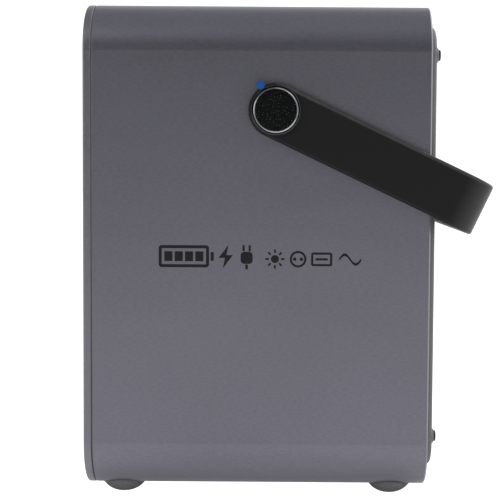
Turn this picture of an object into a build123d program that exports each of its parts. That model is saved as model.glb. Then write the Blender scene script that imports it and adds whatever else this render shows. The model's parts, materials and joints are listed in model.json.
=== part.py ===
"""Portable power station: an extruded aluminium case with a swing carry handle.

Millimetres, +Z up, the front faces -Y. The origin is on the floor, at the middle of the overall
length with the handle at rest, on the case's centre plane.
"""

import os
from math import cos, radians, sin

from build123d import *

# ---- driving dimensions: case -------------------------------------------------------------------
case_width = 150.0
case_height = 200.0
sleeve_length = 138.05
corner_radius = 20.0
wall = 2.0
edge_chamfer = 0.6
end_setback = 5.0  # the sleeve's inner ribs stop this far from its ends
fit_gap = 0.2  # between a cover and what it drops into
press_gap = 0.02  # round a piece that is pressed in

bezel_depth = 3.35
bezel_rim = 8.5  # seen from the front, round the panel
bezel_edge = 1.2
bezel_lip = 0.5
ledge_width = 4.0
panel_thickness = 2.2

plateau_inset = 7.8
plateau_rise = 2.7
plateau_edge = 2.4
rear_skin = 2.5
rear_corner_gap = 2.7
vent_slot = 2.4
vent_pitch = 4.8
fan_vent_rows = 11
lower_vent_rows = 7
lower_vent_level = -30.0  # the highest of them, from the case's middle
lower_vent_length = 86.0

foot_height = 4.0
foot_radius = 9.2
foot_flat_radius = 3.3
foot_shoulder_inset = 2.3
foot_shoulder_height = 1.7
foot_waist_size = 0.8  # the flare at the rim, across and down
foot_flare_inset = 0.58
foot_inset = 21.0
foot_spacing = 112.4
foot_ahead = 1.6  # the feet's middle is ahead of the sleeve's
foot_bore = 2.3
foot_screw_recess = 0.6

# ---- driving dimensions: fasteners --------------------------------------------------------------
screw_radius = 1.5
screw_gap = 0.1
port_radius = 3.3
port_web = 2.0
port_side_inset = 13.0
port_top_inset = 20.2
port_bottom_inset = 21.4
lug_radius = 5.5
boss_base_radius = 3.6
boss_top_radius = 2.7
boss_height = 0.8
screw_head_radius = 2.3
screw_head_height = 0.9
screw_head_edge = 0.5
cross_length = 2.4
cross_width = 0.5
cross_depth = 0.6
bezel_screw_grip = 9.0
rear_screw_length = 16.0
foot_screw_head = 1.8
foot_screw_end = 1.4  # past the sleeve's wall

# ---- driving dimensions: handle and pivot -------------------------------------------------------
handle_reach = 93.6  # pivot to the outside of the grip
handle_width = 22.0
handle_drop = 25.3  # degrees below level, at rest
arm_thickness = 4.0
grip_thickness = 5.0
bend_radius = 12.0
handle_edge = 1.2
pivot_behind_middle = 5.9
pivot_below_top = 44.0
post_flange = 0.8
post_flange_overlap = 1.9  # past the handle's eye
journal_radius = 7.5
journal_clearance = 0.06
bush_wall = 0.94
washer_thickness = 0.5
axial_gap = 0.05
spigot_radius = 5.9
pivot_screw_radius = 2.0
pivot_screw_head = 4.5
pivot_screw_end = 1.0  # past its nut
pivot_nut_side = 22.0
pivot_nut_corner = 2.0
pivot_nut_thickness = 4.0
cap_overlap = 1.5  # past the handle's eye
cap_height = 1.5
cap_floor = 0.6
cap_edge = 0.5
ring_overlap = 0.5
ring_width = 0.6
ring_bevel = 0.48
ring_proud = 0.5
disc_setback = 0.1
disc_thickness = 0.55
film_thickness = 0.12
film_tab_radius = 1.75
film_tab_reach = 11.7
film_tab_angle = 121.7

# ---- driving dimensions: front controls and sockets ---------------------------------------------
# Columns are measured from the panel's middle. The upper rows are measured down from its top edge
# and the lower ones up from its bottom edge.
lamp_row = 13.5
lamp_size = (84.0, 8.0)
lamp_rim = 2.0
led_pitch = 8.0
led_count = 9
led_side = 3.0
led_height = 0.9
display_row = 42.5
lens_size = (88.0, 36.0)
lens_corner = 3.0
lens_thickness = 1.2
screen_size = (80.0, 28.0)
screen_corner = 1.5
module_depth = 4.0
module_rim = 2.0
button_row = 73.5
button_columns = {"power_button": -45.0, "ac_button": -15.0, "dc_button": 15.0, "lamp_button": 45.0}
button_size = (18.0, 8.0)
button_proud = 0.6
button_travel = 0.8
button_gap = 0.25
button_edge = 0.4
button_flange = 1.0  # the rim that keeps a button in: its reach and its thickness
switch_height = 5.0
switch_side = 6.2
switch_corner = 0.6
stem_radius = 1.4
stem_entry = 0.5
stem_gap = 0.15
port_row = 95.5
usb_a_columns = (-43.0, -24.0)
usb_a_size = (13.1, 5.7)
usb_a_tongue = (11.0, 1.7)
usb_a_tongue_rise = 0.9
usb_a_tongue_setback = 0.8
usb_c_columns = (-4.0, 13.0)
usb_c_size = (9.0, 3.3)
usb_c_tongue = (6.6, 0.7)
usb_c_bore = 7.0
usb_shell = 0.4
usb_floor = 2.0
usb_setback = 0.3
dc_input_column = 44.0
dc_output_row = 19.5
dc_output_columns = (-49.0, -23.0)
jack_bore_radius = 2.8
jack_bore_depth = 10.0
jack_barrel_radius = 4.9
jack_flange_radius = 6.2
jack_flange = 0.9
jack_pin_radius = 1.05
car_column = -36.0
car_row = 53.5
car_bore_radius = 10.6
car_wall = 1.0
car_depth = 41.0
car_floor = 1.5
car_flange_radius = 15.0
car_flange = 1.0
car_contact_radius = 3.0
car_contact_length = 6.0
ac_column = 31.0
ac_row = 41.5
ac_recess_radius = 19.5
ac_recess_depth = 17.5
ac_floor_thickness = 3.0
ac_body_radius = 22.0
ac_flange = 50.0
ac_flange_corner = 7.0
ac_key = (4.0, 5.4)  # the two ribs that guide a plug
ac_pin_hole_radius = 2.6
ac_pin_spacing = 19.0
ac_contact_radius = 3.8
ac_contact_length = 16.0
ac_proud = 1.0
clip_slot = 5.0
clip_depth = 1.6
clip_thickness = 1.2
nut_thickness = 2.5
car_nut_wall = 2.6
jack_nut_wall = 1.8

# ---- driving dimensions: inside -----------------------------------------------------------------
board_thickness = 1.6
control_board_depth = 11.0  # its front face, behind the sleeve's front end
control_board_width = 122.0
control_board_row = 21.5  # its top edge, below the panel's
control_board_drop = 7.0  # its bottom edge, below the inverter board
pillar_inset = 6.0
pillar_radius = 3.0
pillar_screw = 1.25
pillar_skin = 1.0
board_screw_head_radius = 2.4
board_screw_head = 1.6
board_screw_length = 6.0
chip_side = 13.0
chip_height = 1.4
chip_spacing = (34.0, 31.0)
board_front = 18.0
board_rear = 120.0
board_over_pack = 10.6
rail_reach = 3.5
rail_thickness = 1.5

cell_radius = 9.2
cell_length = 65.0
cell_gap = 0.4
cell_columns = 6
cell_rows = 4
pack_depth = 93.0  # the pack's middle, behind the sleeve's front end
holder_rim = 0.6
holder_thickness = 8.0
holder_slip = 0.05
strip_thickness = 0.5
strip_margin = 2.5
tray_lift = 4.0
tray_floor = 2.0
tray_rib = 2.0
tray_wall = 10.0
tray_front = 6.0
tray_length = 124.0
tray_margin = 0.5
tray_boss_radius = 4.5
tray_hole_depth = 2.4
bms_size = (96.0, 62.0)
bms_leg = 1.6
bms_leg_radius = 2.5
bms_leg_spacing = (84.0, 57.0)
transistor_size = (9.0, 8.0)
transistor_pitch = 14.0
transistor_height = 1.5
transistor_count = 6

heatsink_height = 40.0
heatsink_depth = 66.0
heatsink_spacing = 88.0
heatsink_web = (3.0, 84.0)
fin_size = (18.0, 2.0)
fin_pitch = 10.0
fin_count = 9
transformer_depth = 84.0
transformer_size = (46.0, 40.0)
transformer_height = 34.0
transformer_corner = 2.0
winding_window = (5.0, 30.0)
winding_spacing = 37.0
capacitor_depth = 42.0
capacitor_radius = 9.0
capacitor_height = 32.0
capacitor_edge = 1.0
capacitor_spacing = (22.0, 24.0)

fan_below_top = 54.0
fan_size = 60.0
fan_corner = 4.0
fan_thickness = 15.0
fan_hole_spacing = 50.0
fan_bore_radius = 28.0
fan_hub_radius = 12.5
fan_tip_radius = 26.8
fan_shaft_radius = 1.5
fan_hub_edge = 1.0
fan_base = 3.0
fan_spoke = 3.0
fan_end_gap = 0.6
fan_screw_radius = 1.9
fan_screw_head_radius = 3.4
fan_screw_head = 2.0
fan_screw_skin = 0.6  # left of the rear cover behind a fan screw
blade_count = 7
blade_pitch = 50.0
blade_chord = 11.0
blade_thickness = 1.2
blade_root = 0.6  # sunk in the hub

ac_lead_radius = 1.6
ac_lead_bend = 5.0
ac_lead_depth = 50.0
fan_lead_radius = 1.0
fan_lead_bend = 2.5
fan_lead_clearance = 6.0
fan_lead_drop = 20.0
fan_lead_landing = 12.0
battery_lead_radius = 2.2
battery_lead_spacing = 60.0
battery_lead_back = 10.0
ribbon_size = (20.0, 0.8)

# ---- places worked out from the dimensions ------------------------------------------------------
# Depths are measured back from the sleeve's front end, and levels up from the case's middle.
side = case_width / 2
inner_width = case_width - 2 * wall
inner_height = case_height - 2 * wall
inner_radius = corner_radius - wall
half_strap = handle_width / 2
drop = radians(handle_drop)
pivot_depth = sleeve_length / 2 + pivot_behind_middle
grip_rear = (handle_reach - handle_edge) * cos(drop) + (half_strap - handle_edge) * sin(drop) + handle_edge
sleeve_front = bezel_depth - (bezel_depth + pivot_depth + grip_rear) / 2
sleeve_middle = sleeve_front + sleeve_length / 2
case_middle = foot_height + case_height / 2
pivot_y = sleeve_front + pivot_depth
pivot_z = foot_height + case_height - pivot_below_top
plateau_back = sleeve_length + plateau_rise

screw_hole_radius = screw_radius + screw_gap
port_x = side - port_side_inset
port_top = case_height / 2 - port_top_inset
port_bottom = port_bottom_inset - case_height / 2
port_points = [(x, z) for x in (-port_x, port_x) for z in (port_bottom, port_top)]
foot_x = side - foot_inset
foot_front_y = sleeve_middle - foot_ahead - foot_spacing / 2
foot_points = {
    "foot_front_left": (-foot_x, foot_front_y),
    "foot_front_right": (foot_x, foot_front_y),
    "foot_rear_left": (-foot_x, foot_front_y + foot_spacing),
    "foot_rear_right": (foot_x, foot_front_y + foot_spacing),
}

arm_inside = side + post_flange + washer_thickness + 2 * axial_gap
arm_outside = arm_inside + arm_thickness
cap_inside = arm_outside + axial_gap
ring_outside = cap_inside + cap_height + ring_proud
bush_bore_radius = journal_radius + journal_clearance
eye_radius = bush_bore_radius + bush_wall
post_flange_radius = eye_radius + post_flange_overlap
cap_radius = eye_radius + cap_overlap
ring_radius = eye_radius + ring_overlap

panel_opening = (case_width - 2 * bezel_rim, case_height - 2 * bezel_rim)
opening_radius = corner_radius - bezel_rim
panel_back = 0.0  # it lies on the bezel's ledge, level with the sleeve's front end
panel_front = panel_back - panel_thickness
panel_top = panel_opening[1] / 2
lamp_centre = (0.0, panel_top - lamp_row)
display_centre = (0.0, panel_top - display_row)
button_points = {name: (x, panel_top - button_row) for name, x in button_columns.items()}
usb_a_points = [(x, panel_top - port_row) for x in usb_a_columns]
usb_c_points = [(x, panel_top - port_row) for x in usb_c_columns]
dc_input_point = (dc_input_column, panel_top - port_row)
dc_output_points = [(x, dc_output_row - panel_top) for x in dc_output_columns]
jack_points = [dc_input_point] + dc_output_points
car_point = (car_column, car_row - panel_top)
ac_point = (ac_column, ac_row - panel_top)

cell_pitch = 2 * cell_radius + cell_gap
holder_size = (cell_columns * cell_pitch + 2 * holder_rim, cell_rows * cell_pitch + 2 * holder_rim)
cells_front = pack_depth - cell_length / 2
cells_back = pack_depth + cell_length / 2
pack_floor = wall + tray_lift - case_height / 2
pack_level = pack_floor + tray_floor + holder_size[1] / 2
pack_top = pack_floor + tray_floor + holder_size[1]
bms_top = pack_top + bms_leg + board_thickness
board_level = pack_top + board_over_pack  # the inverter board's underside
board_top = board_level + board_thickness
fan_centre = (0.0, case_height / 2 - fan_below_top)

control_board_top = panel_top - control_board_row
control_board_bottom = board_level - control_board_drop
control_board_height = control_board_top - control_board_bottom
control_board_level = (control_board_top + control_board_bottom) / 2
board_face = control_board_depth
board_back = board_face + board_thickness
pillar_x = control_board_width / 2 - pillar_inset
pillar_rise = control_board_height / 2 - pillar_inset
pillar_levels = (control_board_level - pillar_rise, control_board_level + pillar_rise)
pillar_points = [(x, z) for x in (-pillar_x, pillar_x) for z in pillar_levels]

pieces = {}


def keep(name, part):
    """Labels a finished piece and holds it for export."""
    part.label = name
    pieces[name] = part


def keep_pair(name, part):
    """Keeps a right-hand piece and its mirror image on the left."""
    keep(f"{name}_right", part)
    keep(f"{name}_left", mirror(part, about=Plane.YZ))


def upright(depth, centre=(0.0, 0.0)):
    """Plane facing the front, this far behind the sleeve's front end. Its x is +X and its y is +Z."""
    origin = (centre[0], sleeve_front + depth, case_middle + centre[1])
    return Plane(origin=origin, x_dir=(1, 0, 0), z_dir=(0, -1, 0))


def flat(level, depth=0.0):
    """Plane facing up, this far above the case's middle. Its x is +X and its y is +Y."""
    return Plane(origin=(0, sleeve_front + depth, case_middle + level))


def at_pivot(x):
    """Plane on the handle's axis facing +X. Its x is +Y and its y is +Z."""
    return Plane(origin=(x, pivot_y, pivot_z), x_dir=(0, 1, 0), z_dir=(1, 0, 0))


# ---- case ---------------------------------------------------------------------------------------
with BuildPart() as sleeve:
    with BuildSketch(upright(sleeve_length)):
        RectangleRounded(case_width, case_height, corner_radius)
        RectangleRounded(inner_width, inner_height, inner_radius, mode=Mode.SUBTRACT)
    extrude(amount=sleeve_length)
    end_faces = sleeve.faces().filter_by(Axis.Y).sort_by(Axis.Y)
    chamfer([end_faces[0].outer_wire().edges(), end_faces[-1].outer_wire().edges()], edge_chamfer)
    with BuildSketch(upright(sleeve_length - end_setback)):
        with Locations(port_points):
            Circle(port_radius)
        for x, z in port_points:
            toward_wall = 1 if x > 0 else -1
            with Locations((x + toward_wall * port_side_inset / 2, z)):
                Rectangle(port_side_inset - wall, port_web)
        for rail_side in (-1, 1):
            rail_x = rail_side * (inner_width / 2 - rail_reach / 2)
            rail_step = board_thickness / 2 + rail_thickness / 2 + fit_gap
            with Locations((rail_x, board_level + board_thickness / 2)):
                with GridLocations(1, 2 * rail_step, 1, 2):
                    Rectangle(rail_reach, rail_thickness)
    extrude(amount=sleeve_length - 2 * end_setback)
    with BuildSketch(upright(sleeve_length)):
        with Locations(port_points):
            Circle(screw_hole_radius)
    extrude(amount=sleeve_length, mode=Mode.SUBTRACT)
    with BuildSketch(at_pivot(-side)):
        Circle(spigot_radius + screw_gap)
    extrude(amount=case_width, mode=Mode.SUBTRACT)
    with BuildSketch(Plane(origin=(0, 0, foot_height))):
        with Locations(list(foot_points.values())):
            Circle(screw_hole_radius)
    extrude(amount=wall, mode=Mode.SUBTRACT)
keep("sleeve", sleeve.part)

with BuildPart() as front_bezel:
    with BuildSketch(upright(0)):
        RectangleRounded(case_width, case_height, corner_radius)
        RectangleRounded(*panel_opening, opening_radius, mode=Mode.SUBTRACT)
    extrude(amount=bezel_depth)
    front_face = front_bezel.faces().filter_by(Axis.Y).sort_by(Axis.Y)[0]
    fillet(front_face.outer_wire().edges(), bezel_edge)
    front_face = front_bezel.faces().filter_by(Axis.Y).sort_by(Axis.Y)[0]
    fillet(front_face.inner_wires().edges(), bezel_lip)
    back_face = front_bezel.faces().filter_by(Axis.Y).sort_by(Axis.Y)[-1]
    chamfer(back_face.outer_wire().edges(), edge_chamfer / 2)
    with BuildSketch(upright(end_setback)):
        RectangleRounded(inner_width - 2 * fit_gap, inner_height - 2 * fit_gap, inner_radius - fit_gap)
        RectangleRounded(
            panel_opening[0] - 2 * ledge_width,
            panel_opening[1] - 2 * ledge_width,
            opening_radius - ledge_width,
            mode=Mode.SUBTRACT,
        )
        with Locations(port_points):
            Circle(lug_radius)
    extrude(amount=end_setback)
    with BuildSketch(upright(end_setback)):
        with Locations(port_points):
            Circle(screw_hole_radius)
    extrude(amount=end_setback, mode=Mode.SUBTRACT)
    with BuildSketch(upright(screw_head_radius)):
        with Locations(port_points):
            Circle(screw_head_radius + 2 * fit_gap)
    extrude(amount=screw_head_radius, mode=Mode.SUBTRACT)
keep("front_bezel", front_bezel.part)

with BuildPart() as bezel_screws:
    with BuildSketch(upright(screw_head_radius)):
        with Locations(port_points):
            Circle(screw_head_radius)
    extrude(amount=screw_head_radius - fit_gap)
    with BuildSketch(upright(end_setback + bezel_screw_grip)):
        with Locations(port_points):
            Circle(screw_radius)
    extrude(amount=end_setback + bezel_screw_grip - screw_head_radius)
keep("bezel_screws", bezel_screws.part)

with BuildPart() as rear_cover:
    plug_width = inner_width - 2 * fit_gap
    plug_height = inner_height - 2 * fit_gap
    plateau_width = case_width - 2 * plateau_inset
    plateau_height = case_height - 2 * plateau_inset
    plateau_radius = corner_radius - plateau_inset
    with BuildSketch(upright(sleeve_length)):
        RectangleRounded(plug_width, plug_height, inner_radius - fit_gap)
    extrude(amount=end_setback)
    with BuildSketch(upright(plateau_back)):
        RectangleRounded(plateau_width, plateau_height, plateau_radius)
    extrude(amount=plateau_rise)
    fillet(rear_cover.faces().filter_by(Axis.Y).sort_by(Axis.Y)[-1].outer_wire().edges(), plateau_edge)
    with BuildSketch(upright(plateau_back - rear_skin)):
        RectangleRounded(
            plateau_width - 2 * rear_corner_gap,
            plateau_height - 2 * rear_corner_gap,
            plateau_radius - rear_corner_gap,
        )
        with Locations(port_points):
            Circle(lug_radius, mode=Mode.SUBTRACT)
        for x, z in port_points:
            corner = (x + (lug_radius if x > 0 else -lug_radius), z + (lug_radius if z > 0 else -lug_radius))
            with Locations(corner):
                Rectangle(2 * lug_radius, 2 * lug_radius, mode=Mode.SUBTRACT)
    extrude(amount=plateau_back - rear_skin - (sleeve_length - end_setback), mode=Mode.SUBTRACT)
    for x, z in port_points:
        with Locations(Plane(origin=(x, sleeve_front + plateau_back, case_middle + z), z_dir=(0, 1, 0))):
            Cone(
                boss_base_radius,
                boss_top_radius,
                boss_height,
                align=(Align.CENTER, Align.CENTER, Align.MIN),
            )
    with BuildSketch(upright(plateau_back + boss_height)):
        with Locations(port_points):
            Circle(screw_hole_radius)
    extrude(amount=plateau_back + boss_height - (sleeve_length - end_setback), mode=Mode.SUBTRACT)
    with BuildSketch(upright(plateau_back)):
        for row in range(fan_vent_rows):
            rise = (row - fan_vent_rows // 2) * vent_pitch
            reach = 2 * (fan_tip_radius**2 - rise**2) ** 0.5
            with Locations((fan_centre[0], fan_centre[1] + rise)):
                SlotOverall(max(reach, 3 * vent_slot), vent_slot)
        for row in range(lower_vent_rows):
            with Locations((0, lower_vent_level - row * vent_pitch)):
                SlotOverall(lower_vent_length, vent_slot)
    extrude(amount=rear_skin, mode=Mode.SUBTRACT)
    with BuildSketch(upright(plateau_back - fan_screw_skin, fan_centre)):
        with GridLocations(fan_hole_spacing, fan_hole_spacing, 2, 2):
            Circle(fan_screw_radius + axial_gap)
    extrude(amount=rear_skin - fan_screw_skin, mode=Mode.SUBTRACT)
keep("rear_cover", rear_cover.part)

with BuildPart() as rear_screws:
    head_seat = plateau_back + boss_height
    with BuildSketch(upright(head_seat + screw_head_height)):
        with Locations(port_points):
            Circle(screw_head_radius)
    extrude(amount=screw_head_height)
    fillet(rear_screws.edges().filter_by(GeomType.CIRCLE).group_by(Axis.Y)[-1], screw_head_edge)
    with BuildSketch(upright(head_seat)):
        with Locations(port_points):
            Circle(screw_radius)
    extrude(amount=rear_screw_length)
    with BuildSketch(upright(head_seat + screw_head_height)):
        with Locations(port_points):
            Rectangle(cross_length, cross_width)
            Rectangle(cross_width, cross_length)
    extrude(amount=cross_depth, mode=Mode.SUBTRACT)
keep("rear_screws", rear_screws.part)

# ---- feet ---------------------------------------------------------------------------------------
foot_shoulder = (foot_radius - foot_shoulder_inset, foot_shoulder_height)
foot_waist = (foot_radius - foot_waist_size, foot_height - foot_waist_size)
foot_flare = (foot_radius - foot_flare_inset, foot_height - foot_waist_size / 2)
foot_seat = foot_screw_head + foot_screw_recess
foot_rim_top = foot_height + corner_radius / 4
for foot_name, (foot_at_x, foot_at_y) in foot_points.items():
    with BuildPart() as foot:
        with BuildSketch(Plane(origin=(foot_at_x, foot_at_y, 0), z_dir=(0, -1, 0), x_dir=(1, 0, 0))):
            with BuildLine():
                Line((foot_bore, 0), (foot_flat_radius, 0))
                ThreePointArc((foot_flat_radius, 0), foot_shoulder, foot_waist)
                ThreePointArc(foot_waist, foot_flare, (foot_radius, foot_height))
                Line((foot_radius, foot_height), (foot_radius, foot_rim_top))
                Line((foot_radius, foot_rim_top), (screw_hole_radius, foot_rim_top))
                Line((screw_hole_radius, foot_rim_top), (screw_hole_radius, foot_seat))
                Line((screw_hole_radius, foot_seat), (foot_bore, foot_seat))
                Line((foot_bore, foot_seat), (foot_bore, 0))
            make_face()
        revolve(axis=Axis((foot_at_x, foot_at_y, 0), (0, 0, 1)))
        # its top follows the sleeve's rounded underside
        with BuildSketch(upright(sleeve_length)):
            RectangleRounded(case_width, case_height, corner_radius)
        extrude(amount=sleeve_length, mode=Mode.SUBTRACT)
    keep(foot_name, foot.part)

with BuildPart() as foot_screws:
    with BuildSketch(Plane(origin=(0, 0, foot_screw_recess))):
        with Locations(list(foot_points.values())):
            Circle(foot_bore - fit_gap)
    extrude(amount=foot_screw_head)
    with BuildSketch(Plane(origin=(0, 0, foot_seat))):
        with Locations(list(foot_points.values())):
            Circle(screw_radius)
    extrude(amount=foot_height + wall + foot_screw_end - foot_seat)
keep("foot_screws", foot_screws.part)

# ---- handle and its pivots ----------------------------------------------------------------------
strap = Plane(
    origin=(0, pivot_y, pivot_z),
    x_dir=(1, 0, 0),
    z_dir=(0, sin(drop), cos(drop)),
)
handle_side = Plane(origin=(0, pivot_y, pivot_z), x_dir=(0, cos(drop), -sin(drop)), z_dir=(1, 0, 0))
with BuildPart() as handle:
    with BuildSketch(strap):
        with BuildLine():
            FilletPolyline(
                (-arm_outside, -half_strap),
                (-arm_outside, handle_reach),
                (arm_outside, handle_reach),
                (arm_outside, -half_strap),
                radius=bend_radius,
            )
            Line((arm_outside, -half_strap), (arm_inside, -half_strap))
            FilletPolyline(
                (arm_inside, -half_strap),
                (arm_inside, handle_reach - grip_thickness),
                (-arm_inside, handle_reach - grip_thickness),
                (-arm_inside, -half_strap),
                radius=bend_radius - arm_thickness,
            )
            Line((-arm_inside, -half_strap), (-arm_outside, -half_strap))
        make_face()
    extrude(amount=half_strap, both=True)
    with BuildSketch(handle_side):
        Circle(half_strap)
        with Locations((handle_reach / 2, 0)):
            Rectangle(handle_reach, handle_width)
    extrude(amount=arm_outside, both=True, mode=Mode.INTERSECT)
    fillet(handle.edges(), handle_edge)
    with BuildSketch(at_pivot(-arm_outside)):
        Circle(eye_radius)
    extrude(amount=2 * arm_outside, mode=Mode.SUBTRACT)
keep("handle", handle.part)

with BuildPart() as handle_bushes:
    with BuildSketch(at_pivot(arm_inside)):
        Circle(eye_radius)
        Circle(bush_bore_radius, mode=Mode.SUBTRACT)
    extrude(amount=arm_thickness)
    mirror(about=Plane.YZ)
keep("handle_bushes", handle_bushes.part)

with BuildPart() as pivot_posts:
    with BuildSketch(at_pivot(side - wall)):
        Circle(spigot_radius)
    extrude(amount=wall)
    with BuildSketch(at_pivot(side)):
        Circle(post_flange_radius)
    extrude(amount=post_flange)
    with BuildSketch(at_pivot(side + post_flange)):
        Circle(journal_radius)
    extrude(amount=cap_inside - side - post_flange)
    with BuildSketch(at_pivot(side - wall)):
        Circle(pivot_screw_radius + screw_gap)
    extrude(amount=cap_inside - side + wall, mode=Mode.SUBTRACT)
    mirror(about=Plane.YZ)
keep("pivot_posts", pivot_posts.part)

with BuildPart() as friction_washers:
    with BuildSketch(at_pivot(side + post_flange + axial_gap)):
        Circle(post_flange_radius - fit_gap)
        Circle(bush_bore_radius + fit_gap, mode=Mode.SUBTRACT)
    extrude(amount=washer_thickness)
    mirror(about=Plane.YZ)
keep("friction_washers", friction_washers.part)

with BuildPart() as pivot_cap:
    with BuildSketch(at_pivot(cap_inside)):
        Circle(cap_radius)
    extrude(amount=cap_height)
    fillet(pivot_cap.edges().filter_by(GeomType.CIRCLE).sort_by(Axis.X)[-1], cap_edge)
    with BuildSketch(at_pivot(cap_inside + cap_floor)):
        Circle(ring_radius)
    extrude(amount=cap_height, mode=Mode.SUBTRACT)
    with BuildSketch(at_pivot(cap_inside)):
        Circle(pivot_screw_radius + screw_gap)
    extrude(amount=cap_height, mode=Mode.SUBTRACT)
keep_pair("pivot_cap", pivot_cap.part)

with BuildPart() as cap_rings:
    with BuildSketch(at_pivot(cap_inside + cap_floor)):
        Circle(ring_radius)
        Circle(ring_radius - ring_width, mode=Mode.SUBTRACT)
    extrude(amount=ring_outside - cap_inside - cap_floor)
    outer_rim = cap_rings.edges().filter_by(GeomType.CIRCLE).group_by(Axis.X)[-1].sort_by(SortBy.RADIUS)[-1]
    chamfer(outer_rim, ring_bevel)
    mirror(about=Plane.YZ)
keep("cap_rings", cap_rings.part)

disc_radius = ring_radius - ring_width - press_gap
disc_outside = ring_outside - disc_setback
with BuildPart() as cap_discs:
    with BuildSketch(at_pivot(disc_outside - disc_thickness)):
        Circle(disc_radius)
    extrude(amount=disc_thickness)
    mirror(about=Plane.YZ)
keep("cap_discs", cap_discs.part)

with BuildPart() as cap_film:
    tab_at = (film_tab_reach * cos(radians(film_tab_angle)), film_tab_reach * sin(radians(film_tab_angle)))
    with BuildSketch(at_pivot(ring_outside)):
        Circle(disc_radius)
        with Locations(Location((tab_at[0] / 2, tab_at[1] / 2, 0), film_tab_angle)):
            Rectangle(film_tab_reach, film_tab_radius)
        with Locations(tab_at):
            Circle(film_tab_radius)
    extrude(amount=film_thickness)
keep("cap_film", cap_film.part)

with BuildPart() as pivot_screws:
    head_thickness = disc_outside - disc_thickness - axial_gap - cap_inside - cap_floor
    with BuildSketch(at_pivot(cap_inside + cap_floor)):
        Circle(pivot_screw_head)
    extrude(amount=head_thickness)
    with BuildSketch(at_pivot(cap_inside + cap_floor)):
        Circle(pivot_screw_radius)
    extrude(amount=-(cap_inside + cap_floor - side + wall + pivot_nut_thickness + pivot_screw_end))
    mirror(about=Plane.YZ)
keep("pivot_screws", pivot_screws.part)

with BuildPart() as pivot_nuts:
    with BuildSketch(at_pivot(side - wall)):
        RectangleRounded(pivot_nut_side, pivot_nut_side, pivot_nut_corner)
        Circle(pivot_screw_radius + press_gap, mode=Mode.SUBTRACT)
    extrude(amount=-pivot_nut_thickness)
    mirror(about=Plane.YZ)
keep("pivot_nuts", pivot_nuts.part)

# ---- front panel --------------------------------------------------------------------------------
with BuildPart() as front_panel:
    with BuildSketch(upright(panel_back)):
        RectangleRounded(
            panel_opening[0] - 2 * fit_gap,
            panel_opening[1] - 2 * fit_gap,
            opening_radius - fit_gap,
        )
    extrude(amount=panel_thickness)
    with BuildSketch(upright(board_face)):
        with Locations(pillar_points):
            Circle(pillar_radius)
    extrude(amount=board_face - panel_back)
    with BuildSketch(upright(board_face)):
        with Locations(pillar_points):
            Circle(pillar_screw + screw_gap)
    extrude(amount=board_face - panel_back - pillar_skin, mode=Mode.SUBTRACT)
    with BuildSketch(upright(panel_front + lens_thickness)):
        with Locations(display_centre):
            RectangleRounded(lens_size[0] + 2 * fit_gap, lens_size[1] + 2 * fit_gap, lens_corner)
        with Locations(lamp_centre):
            SlotOverall(lamp_size[0] + 2 * fit_gap, lamp_size[1] + 2 * fit_gap)
    extrude(amount=lens_thickness, mode=Mode.SUBTRACT)
    with BuildSketch(upright(panel_back)):
        with Locations(display_centre):
            RectangleRounded(*screen_size, screen_corner)
        with Locations(lamp_centre):
            SlotOverall(lamp_size[0] - 2 * lamp_rim, lamp_size[1] - 2 * lamp_rim)
        with Locations(list(button_points.values())):
            SlotOverall(button_size[0] + 2 * button_gap, button_size[1] + 2 * button_gap)
        with Locations(usb_a_points):
            Rectangle(usb_a_size[0] + 2 * fit_gap, usb_a_size[1] + 2 * fit_gap)
        with Locations(usb_c_points):
            SlotOverall(usb_c_size[0] + 2 * fit_gap, usb_c_size[1] + 2 * fit_gap)
        with Locations(jack_points):
            Circle(jack_barrel_radius + screw_gap)
        with Locations(car_point):
            Circle(car_bore_radius + car_wall + screw_gap)
        with Locations(ac_point):
            Circle(ac_body_radius + screw_gap)
    extrude(amount=panel_thickness, mode=Mode.SUBTRACT)
keep("front_panel", front_panel.part)

with BuildPart() as display_window:
    with BuildSketch(upright(panel_front + lens_thickness)):
        with Locations(display_centre):
            RectangleRounded(*lens_size, lens_corner - fit_gap)
    extrude(amount=lens_thickness)
keep("display_window", display_window.part)

with BuildPart() as lamp_lens:
    with BuildSketch(upright(panel_front + lens_thickness)):
        with Locations(lamp_centre):
            SlotOverall(*lamp_size)
    extrude(amount=lens_thickness)
keep("lamp_lens", lamp_lens.part)

# ---- buttons and the board behind them ----------------------------------------------------------
switch_top = board_face - switch_height
flange_back = panel_back + axial_gap + button_flange
for button_name, button_at in button_points.items():
    with BuildPart() as button:
        with BuildSketch(upright(panel_back + axial_gap)):
            with Locations(button_at):
                SlotOverall(*button_size)
        extrude(amount=panel_thickness + axial_gap + button_proud)
        fillet(button.faces().filter_by(Axis.Y).sort_by(Axis.Y)[0].edges(), button_edge)
        with BuildSketch(upright(flange_back)):
            with Locations(button_at):
                SlotOverall(button_size[0] + 2 * button_flange, button_size[1] + 2 * button_flange)
        extrude(amount=button_flange)
        with BuildSketch(upright(switch_top + stem_entry)):
            with Locations(button_at):
                Circle(stem_radius)
        extrude(amount=switch_top + stem_entry - flange_back)
    keep(button_name, button.part)

with BuildPart() as tact_switches:
    with BuildSketch(upright(board_face)):
        with Locations(list(button_points.values())):
            RectangleRounded(switch_side, switch_side, switch_corner)
    extrude(amount=switch_height)
    with BuildSketch(upright(switch_top)):
        with Locations(list(button_points.values())):
            Circle(stem_radius + stem_gap)
    extrude(amount=-(stem_entry + 1.5 * button_travel), mode=Mode.SUBTRACT)
keep("tact_switches", tact_switches.part)

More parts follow.
